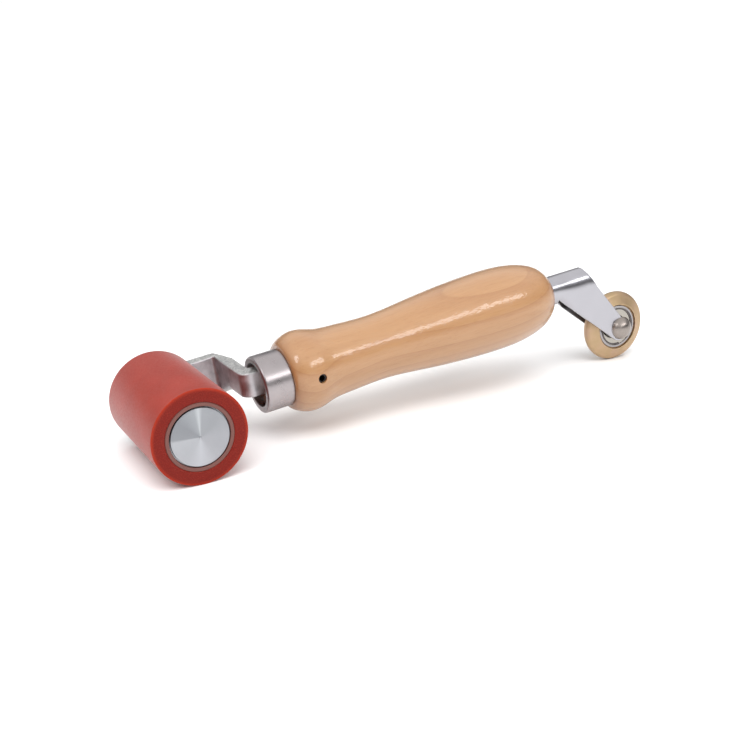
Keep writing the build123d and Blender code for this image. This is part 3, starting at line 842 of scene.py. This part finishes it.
def make_crank_arm():
    """The bar, bent twice; its top and bottom are the rough sheared edges."""
    lengths = spaced(FIRST_BEND - 3, FIRST_BEND, 6) + spaced(FIRST_BEND, WEB_START, BEND_STEPS)[1:]
    lengths += spaced(WEB_START, SECOND_BEND, WEB_STEPS)[1:]
    lengths += spaced(SECOND_BEND, TANG_START, BEND_STEPS)[1:]
    lengths += [TANG_START + 2, TANG_START + 6]
    layers = spaced(BAR_SKIN, BAR - BAR_SKIN, 8)
    build = slab(bar_outline(), BAR, BAR_EDGE, lengths, BAR_RISES, layers)
    build.normal_update()
    for face in build.faces:
        face.material_index = 0 if abs(face.normal.z) > BAR_FACING else 1
    for vertex in build.verts:
        vertex.co = draw_in(bar_place(*vertex.co))
    arm = make_piece("arm_look", build, TOOL_PLACE, "zinc_plate", sharp_degrees=50)
    arm.data.materials.append(finish["sheared_zinc"])
    dress(arm, "frame", "crank_arm")


def make_ferrule():
    """The steel cup over the handle's front end."""
    start, end, radius = FERRULE_FRONT, FERRULE_REAR, FERRULE_RADIUS
    wall = FERRULE_WALL
    corners = [
        (start, FERRULE_OPENING, OPENING_EDGE), (start, radius, FERRULE_FRONT_EDGE),
        (end, radius, FERRULE_REAR_EDGE), (end, radius - wall, THIN_EDGE),
        (start + wall, radius - wall, FERRULE_CORNER), (start + wall, FERRULE_OPENING, OPENING_EDGE),
    ]
    ferrule = turn("ferrule_look", round_corners(corners, FERRULE_STEPS), HANDLE_PLACE, "ferrule_steel")
    dress(ferrule, "frame", "ferrule")


def smooth_slopes(stations, chords):
    """Directions at the stations that make the curve through them smooth; those of its two ends are given."""
    slopes = [HANDLE_START.copy()] + [Vector((1, 0)) for _ in stations[1:-1]] + [HANDLE_FINISH.copy()]
    for _ in range(SMOOTHING_ROUNDS):
        for index in range(1, len(stations) - 1):
            before, here, after = stations[index - 1:index + 2]
            chord_in, chord_out = chords[index - 1:index + 1]
            pull_in = (here - before) * (3 / chord_in**2) - slopes[index - 1] / chord_in
            pull_out = (after - here) * (3 / chord_out**2) - slopes[index + 1] / chord_out
            slopes[index] = (pull_in + pull_out) / (2 / chord_in + 2 / chord_out)
    return slopes


def handle_profile():
    """The turned outline of the handle: a smooth curve through its stations."""
    stations = [Vector((FERRULE_REAR + PLAY, SHOULDER_RADIUS))]
    stations += [Vector(station) for station in HANDLE_STATIONS] + [Vector((HANDLE_END, HANDLE_END_RADIUS))]
    chords = [(after - before).length for before, after in zip(stations, stations[1:])]
    slopes = smooth_slopes(stations, chords)
    points = []
    for index, chord in enumerate(chords):
        start, end = stations[index], stations[index + 1]
        for step in range(HANDLE_STEPS):
            share = step / HANDLE_STEPS
            point = start + (end - start) * (share * share * (3 - 2 * share))
            point += slopes[index] * (chord * share * (1 - share) ** 2)
            point += slopes[index + 1] * (chord * share * share * (share - 1))
            points.append((point.x, point.y - HANDLE_SKIN))
    return points


def make_handle():
    """The turned wood, with the pin's hole drilled through it."""
    spigot_front = FERRULE_FRONT + FERRULE_WALL + SPIGOT_RECESS
    spigot = FERRULE_RADIUS - FERRULE_WALL - PLAY
    profile = [(HANDLE_END - TUBE_SEAT_DEPTH, 0), (spigot_front, 0), (spigot_front, spigot)]
    profile += [(FERRULE_REAR + PLAY, spigot)] + handle_profile() + [(HANDLE_END, HANDLE_END_RADIUS)]
    profile += [(HANDLE_END, TUBE_RADIUS + TUBE_MOUTH), (HANDLE_END - TUBE_MOUTH, TUBE_RADIUS)]
    handle = turn("handle_look", profile, HANDLE_PLACE, "varnished_wood")
    drill = [(-DRILL_REACH, 0), (-DRILL_REACH, PIN_HOLE), (DRILL_REACH, PIN_HOLE), (DRILL_REACH, 0)]
    cut(handle, turn("hole", drill, PIN_PLACE, "varnished_wood"))
    # the mesh is turned into the frame's own directions, so that the object's box is as tight as its shape
    handle.data.transform(HANDLE_PLACE.to_3x3().to_4x4())
    handle.matrix_world = Matrix.Translation(HANDLE)
    dress(handle, "frame", "handle")


def make_pin():
    """The hollow slit pin across the handle."""
    profile = ring_profile(-PIN_HALF_LENGTH, PIN_HALF_LENGTH, PIN_BORE, PIN_RADIUS)
    pin = turn("pin_look", profile, PIN_PLACE, "spring_steel", gap=PIN_SLIT)
    pin.data.materials[0] = finish["blackened_steel"]
    dress(pin, "frame", "roll_pin")


def tangent_point(point, centre, radius, side_sign):
    """Where the line from a point touches a circle, in degrees round it."""
    offset = Vector(point) - Vector(centre)
    turned = math.atan2(offset.y, offset.x) + side_sign * math.acos(radius / offset.length)
    return math.degrees(turned)


def fork_curl(x):
    """How sharply the sheet curls below the tube's middle: like the tube at its root, and flat further on."""
    share = min(1, max(0, (x - CHEEK_ROOT_X) / CURL_REACH))
    return (1 - share * share * (3 - 2 * share)) / TUBE_RADIUS


def arch_height(x):
    """Height of the rounded top of the sheet, which gets taller as the tube opens into the cheeks."""
    share = min(1, max(0, (x - CHEEK_ROOT_X + CURL_REACH / 2) / (FORK_FRONT_X - CHEEK_ROOT_X)))
    return TUBE_RADIUS + ARCH_GROWTH * share * share * (3 - 2 * share)


def fork_length_to(x, z):
    """Distance round the flattened sheet from its top line down to a height."""
    arch = arch_height(x)
    drop = SHEET_TOP - z
    if drop < arch:
        return TUBE_RADIUS * math.acos(1 - drop / arch)
    curl = fork_curl(x)
    if curl < FLAT_CURL:
        return QUARTER_TUBE + drop - arch
    return QUARTER_TUBE + math.asin(min(1, curl * (drop - arch))) / curl


def fork_place(x, around, inward):
    """Where a point of the flattened sheet goes once it is rolled up, in the tool's axes."""
    arch = arch_height(x)
    if abs(around) <= QUARTER_TUBE:
        angle = abs(around) / TUBE_RADIUS
        out = Vector((arch * math.sin(angle), TUBE_RADIUS * math.cos(angle))).normalized()
        side = TUBE_RADIUS * math.sin(angle) - inward * out.x
        z = SHEET_TOP - arch * (1 - math.cos(angle)) - inward * out.y
        return Vector((x, HANDLE_SIDE + math.copysign(side, around), z))
    curl = fork_curl(x)
    below = abs(around) - QUARTER_TUBE
    angle = curl * below
    if curl < FLAT_CURL:
        inset, drop = 0, below
    else:
        inset, drop = (1 - math.cos(angle)) / curl, math.sin(angle) / curl
    side = TUBE_RADIUS - inset - inward * math.cos(angle)
    z = SHEET_TOP - arch - drop + inward * math.sin(angle)
    return Vector((x, HANDLE_SIDE + math.copysign(side, around), z))


def cheek_edge():
    """The cheek seen from its side: rear edge, round end, and front edge up to the sheet's top line."""
    centre = (CHEEK_END_X, CHEEK_END_Z)
    root = (CHEEK_ROOT_X, CHEEK_ROOT_Z)
    waist = (FORK_WAIST_X, FORK_WAIST_Z)
    rear_angle = tangent_point(root, centre, CHEEK_END_RADIUS, 1)
    front_angle = tangent_point(waist, centre, CHEEK_END_RADIUS, -1)
    if front_angle < rear_angle:
        front_angle += 360
    round_end = arc(centre, CHEEK_END_RADIUS, rear_angle, front_angle, CHEEK_END_STEPS)
    touch_x, touch_z = round_end[0]
    edge = []
    for x in spaced(root[0], touch_x, FORK_EDGE_STEPS)[:-1]:
        share = (x - root[0]) / (touch_x - root[0])
        edge.append((x, root[1] + share * (touch_z - root[1])))
    edge += round_end + [waist]
    for share in spaced(0, 1, FORK_FRONT_STEPS)[1:]:
        edge.append((waist[0] + share * (FORK_FRONT_X - waist[0]), waist[1] + share * (SHEET_TOP - waist[1])))
    return edge


def make_fork():
    """A tube slit below and opened into two cheeks: one flat sheet, rolled up about its top line."""
    half_turn = 2 * QUARTER_TUBE - SEAM_HALF
    half = [(TUBE_START_X, half_turn), (CHEEK_ROOT_X, half_turn)]
    half += [(x, fork_length_to(x, z)) for x, z in cheek_edge()]
    outline = half + [(x, -around) for x, around in half[:-1]][::-1]
    arounds = spaced(-2 * QUARTER_TUBE, 2 * QUARTER_TUBE, FORK_ROUND_STEPS)
    arounds = [round(place, 4) for place in arounds]
    lengths = spaced(CHEEK_ROOT_X - CURL_REACH / 2, FORK_FRONT_X, FORK_EDGE_STEPS) + [FORK_WAIST_X]
    build = slab(outline, TUBE_WALL, SHEET_EDGE, lengths, arounds)
    build.normal_update()
    # the sheet's inside gets the nearly black material, which is painted shade
    for face in build.faces:
        face.material_index = 1 if face.normal.z > UPPER_FACING else 0
    for vertex in build.verts:
        vertex.co = fork_place(*vertex.co)
    fork = make_piece("fork_look", build, TOOL_PLACE, "bright_chrome", sharp_degrees=50)
    fork.data.materials.append(finish["inner_chrome_painted_shade"])
    dress(fork, "frame", "stem_fork")


def make_penny_wheel():
    """The brass tyre, with a round tread, sloping sides and a bore that is opened out at both faces."""
    start, end, radius = span("penny_tyre", PENNY)
    tread = (0, radius - PENNY_TREAD)
    touch = tangent_point((end, PENNY_HUB), tread, PENNY_TREAD, 1)
    bore = span("penny_bearing_outer_ring", PENNY)[2] + PLAY
    mouth = bore + BORE_RELIEF
    corners = [
        (0, radius), (start, PENNY_HUB, HUB_EDGE), (start, mouth, MOUTH_EDGE), (start + RELIEF_DEPTH, mouth),
        (start + RELIEF_DEPTH, bore), (end - RELIEF_DEPTH, bore), (end - RELIEF_DEPTH, mouth),
        (end, mouth, MOUTH_EDGE), (end, PENNY_HUB, HUB_EDGE),
    ]
    profile = arc(tread, PENNY_TREAD, touch, 180 - touch, TREAD_STEPS) + round_corners(corners)[1:]
    tyre = turn("penny_look", profile, wheel_place(PENNY), "brass", sharp_degrees=30)
    dress(tyre, "penny_wheel", "penny_tyre")


def make_penny_rings():
    """The snap rings that hold the bearing in the tyre, and the collars beside its inner ring."""
    place = wheel_place(PENNY)
    for face in ("near", "far"):
        node = "penny_snap_ring_" + face
        start, end, radius = span(node, PENNY)
        radius -= WIRE_PLAY
        profile = ring_profile(start, end, radius - SNAP_WIRE, radius, WIRE_EDGE)
        # the snap rings' dark colour is partly painted shade
        dress(turn(node + "_look", profile, place, "spring_steel", gap=SNAP_GAP), "penny_wheel", node)
        node = "penny_spacer_" + face
        start, end, radius = span(node, PENNY)
        profile = ring_profile(start, end, RIVET_RADIUS + PLAY, radius)
        dress(turn(node + "_look", profile, place, "spacer_steel"), "frame", node)


def make_rivet():
    """The penny wheel's axle: a domed head on the near cheek and a flatter tail on the far one."""
    head, tail, head_radius = span("penny_rivet", PENNY)
    profile = dome(tail - TAIL_HEIGHT, 1, TAIL_HEIGHT, TAIL_RADIUS)
    profile += [(tail - TAIL_HEIGHT, RIVET_RADIUS), (head + HEAD_HEIGHT, RIVET_RADIUS)]
    profile += dome(head + HEAD_HEIGHT, -1, HEAD_HEIGHT, head_radius)[::-1]
    dress(turn("rivet_look", profile, wheel_place(PENNY), "rivet_steel"), "frame", "penny_rivet")


make_press_roller()
make_axle()
make_bearing("near_bearing", BEARING_608, ROLLER + ACROSS * NEAR_BEARING * MM, "press_roller")
make_bearing("far_bearing", BEARING_608, ROLLER + ACROSS * FAR_BEARING * MM, "press_roller")
make_bearing("penny_bearing", BEARING_626, PENNY, "penny_wheel")
make_crank_arm()
make_ferrule()
make_handle()
make_pin()
make_fork()
make_penny_wheel()
make_penny_rings()
make_rivet()

# ---- camera and studio ----
CAMERA_PLACE = Vector((-93.3, -359.5, 150.8))      # millimetres in the tool's axes
CAMERA_AHEAD = Vector((0.40397, 0.83529, -0.37297))
CAMERA_UP = Vector((0.29023, 0.26962, 0.91819))
CAMERA_LENS = 52.8
CAMERA_CLIP = 0.01
# softboxes: place and size in metres in the frame, and power in watts
STRIP = {"place": (0.22, -0.68, 0.49), "size": (0.8, 0.13), "power": 1.9}         # the long highlights
WINDOW = {"place": (-0.55, -0.28, 0.55), "size": (0.15, 0.22), "power": 0.75}     # the small ones on the left
SOFTBOX_AIM = Vector((0, 0, 0.02))
SUN_POWER = 1.65
SUN_DEGREES = 40               # how wide it looks, which softens the shadows
SUN_DIRECTION = Vector((0.25, 0.45, -1.0))
SKY_STRENGTH = 0.62
SKY = [                        # height, from 0 straight down to 1 straight up, and colour
    (0.54, (1.65, 1.65, 1.65)), (0.57, (0.30, 0.30, 0.29)), (0.62, (0.26, 0.255, 0.265)),
    (0.72, (0.7, 0.7, 0.72)), (0.85, (1.85, 1.85, 1.85)),
]
FLOOR_REACH = 60.0


def in_tool(direction):
    """A direction in the tool's axes, as one in the frame."""
    return ALONG * direction.x + ACROSS * direction.y + UP * direction.z


def make_camera():
    """The camera, at the photograph's angle."""
    camera = add_object("camera", bpy.data.cameras.new("camera"))
    ahead = in_tool(CAMERA_AHEAD).normalized()
    right = ahead.cross(in_tool(CAMERA_UP)).normalized()
    camera.matrix_world = axes(right, right.cross(ahead), -ahead, ROLLER + in_tool(CAMERA_PLACE) * MM)
    camera.data.lens = CAMERA_LENS
    camera.data.clip_start = CAMERA_CLIP
    bpy.context.scene.camera = camera


def make_softbox(name, place, size, power):
    """A soft rectangular lamp, aimed at the tool."""
    lamp = bpy.data.lights.new(name, "AREA")
    lamp.shape = "RECTANGLE"
    lamp.size, lamp.size_y = size
    lamp.energy = power
    softbox = add_object(name, lamp)
    softbox.location = place
    softbox.rotation_euler = (SOFTBOX_AIM - Vector(place)).to_track_quat("-Z", "Y").to_euler()


def make_sky():
    """A pale room: bright overhead, grey lower down, and white at the horizon to hide the floor's edge."""
    world = bpy.data.worlds.new("studio")
    bpy.context.scene.world = world
    world.use_nodes = True
    tree = world.node_tree
    background = tree.nodes["Background"]
    background.inputs["Strength"].default_value = SKY_STRENGTH
    coordinates = add_node(tree, "ShaderNodeTexCoord")
    split = add_node(tree, "ShaderNodeSeparateXYZ", None, Vector=coordinates.outputs["Generated"])
    height = spread(tree, split.outputs["Z"], low=0, high=1, start=-1, finish=1)
    tree.links.new(blend_colors(tree, height, SKY), background.inputs["Color"])


def make_sun():
    """Soft light from above, kept out of reflections, because the softboxes make the highlights."""
    lamp = bpy.data.lights.new("overhead", "SUN")
    lamp.energy = SUN_POWER
    lamp.angle = math.radians(SUN_DEGREES)
    overhead = add_object("overhead", lamp)
    overhead.visible_glossy = False
    overhead.rotation_euler = SUN_DIRECTION.to_track_quat("-Z", "Y").to_euler()


def make_floor():
    """A plain pale floor under the tool."""
    size = FLOOR_REACH
    mesh = bpy.data.meshes.new("floor")
    corners = [(-size, -size, 0), (size, -size, 0), (size, size, 0), (-size, size, 0)]
    mesh.from_pydata(corners, [], [(0, 1, 2, 3)])
    material, tree, surface = new_material("floor", (0.93, 0.93, 0.93), metallic=0, roughness=0.7)
    mottle = noise(tree, object_place(tree), scale=0.02, detail=3)
    tone = blend_colors(tree, mottle, [(0.3, (0.925, 0.925, 0.925)), (0.7, (0.94, 0.94, 0.94))])
    paint(tree, surface, tone)
    mesh.materials.append(material)
    floor = add_object("floor", mesh)


def make_studio():
    """A pale floor under soft light."""
    bpy.context.scene.view_settings.view_transform = "Standard"
    make_sky()
    make_sun()
    make_softbox("strip", **STRIP)
    make_softbox("window", **WINDOW)
    make_floor()


make_camera()
make_studio()
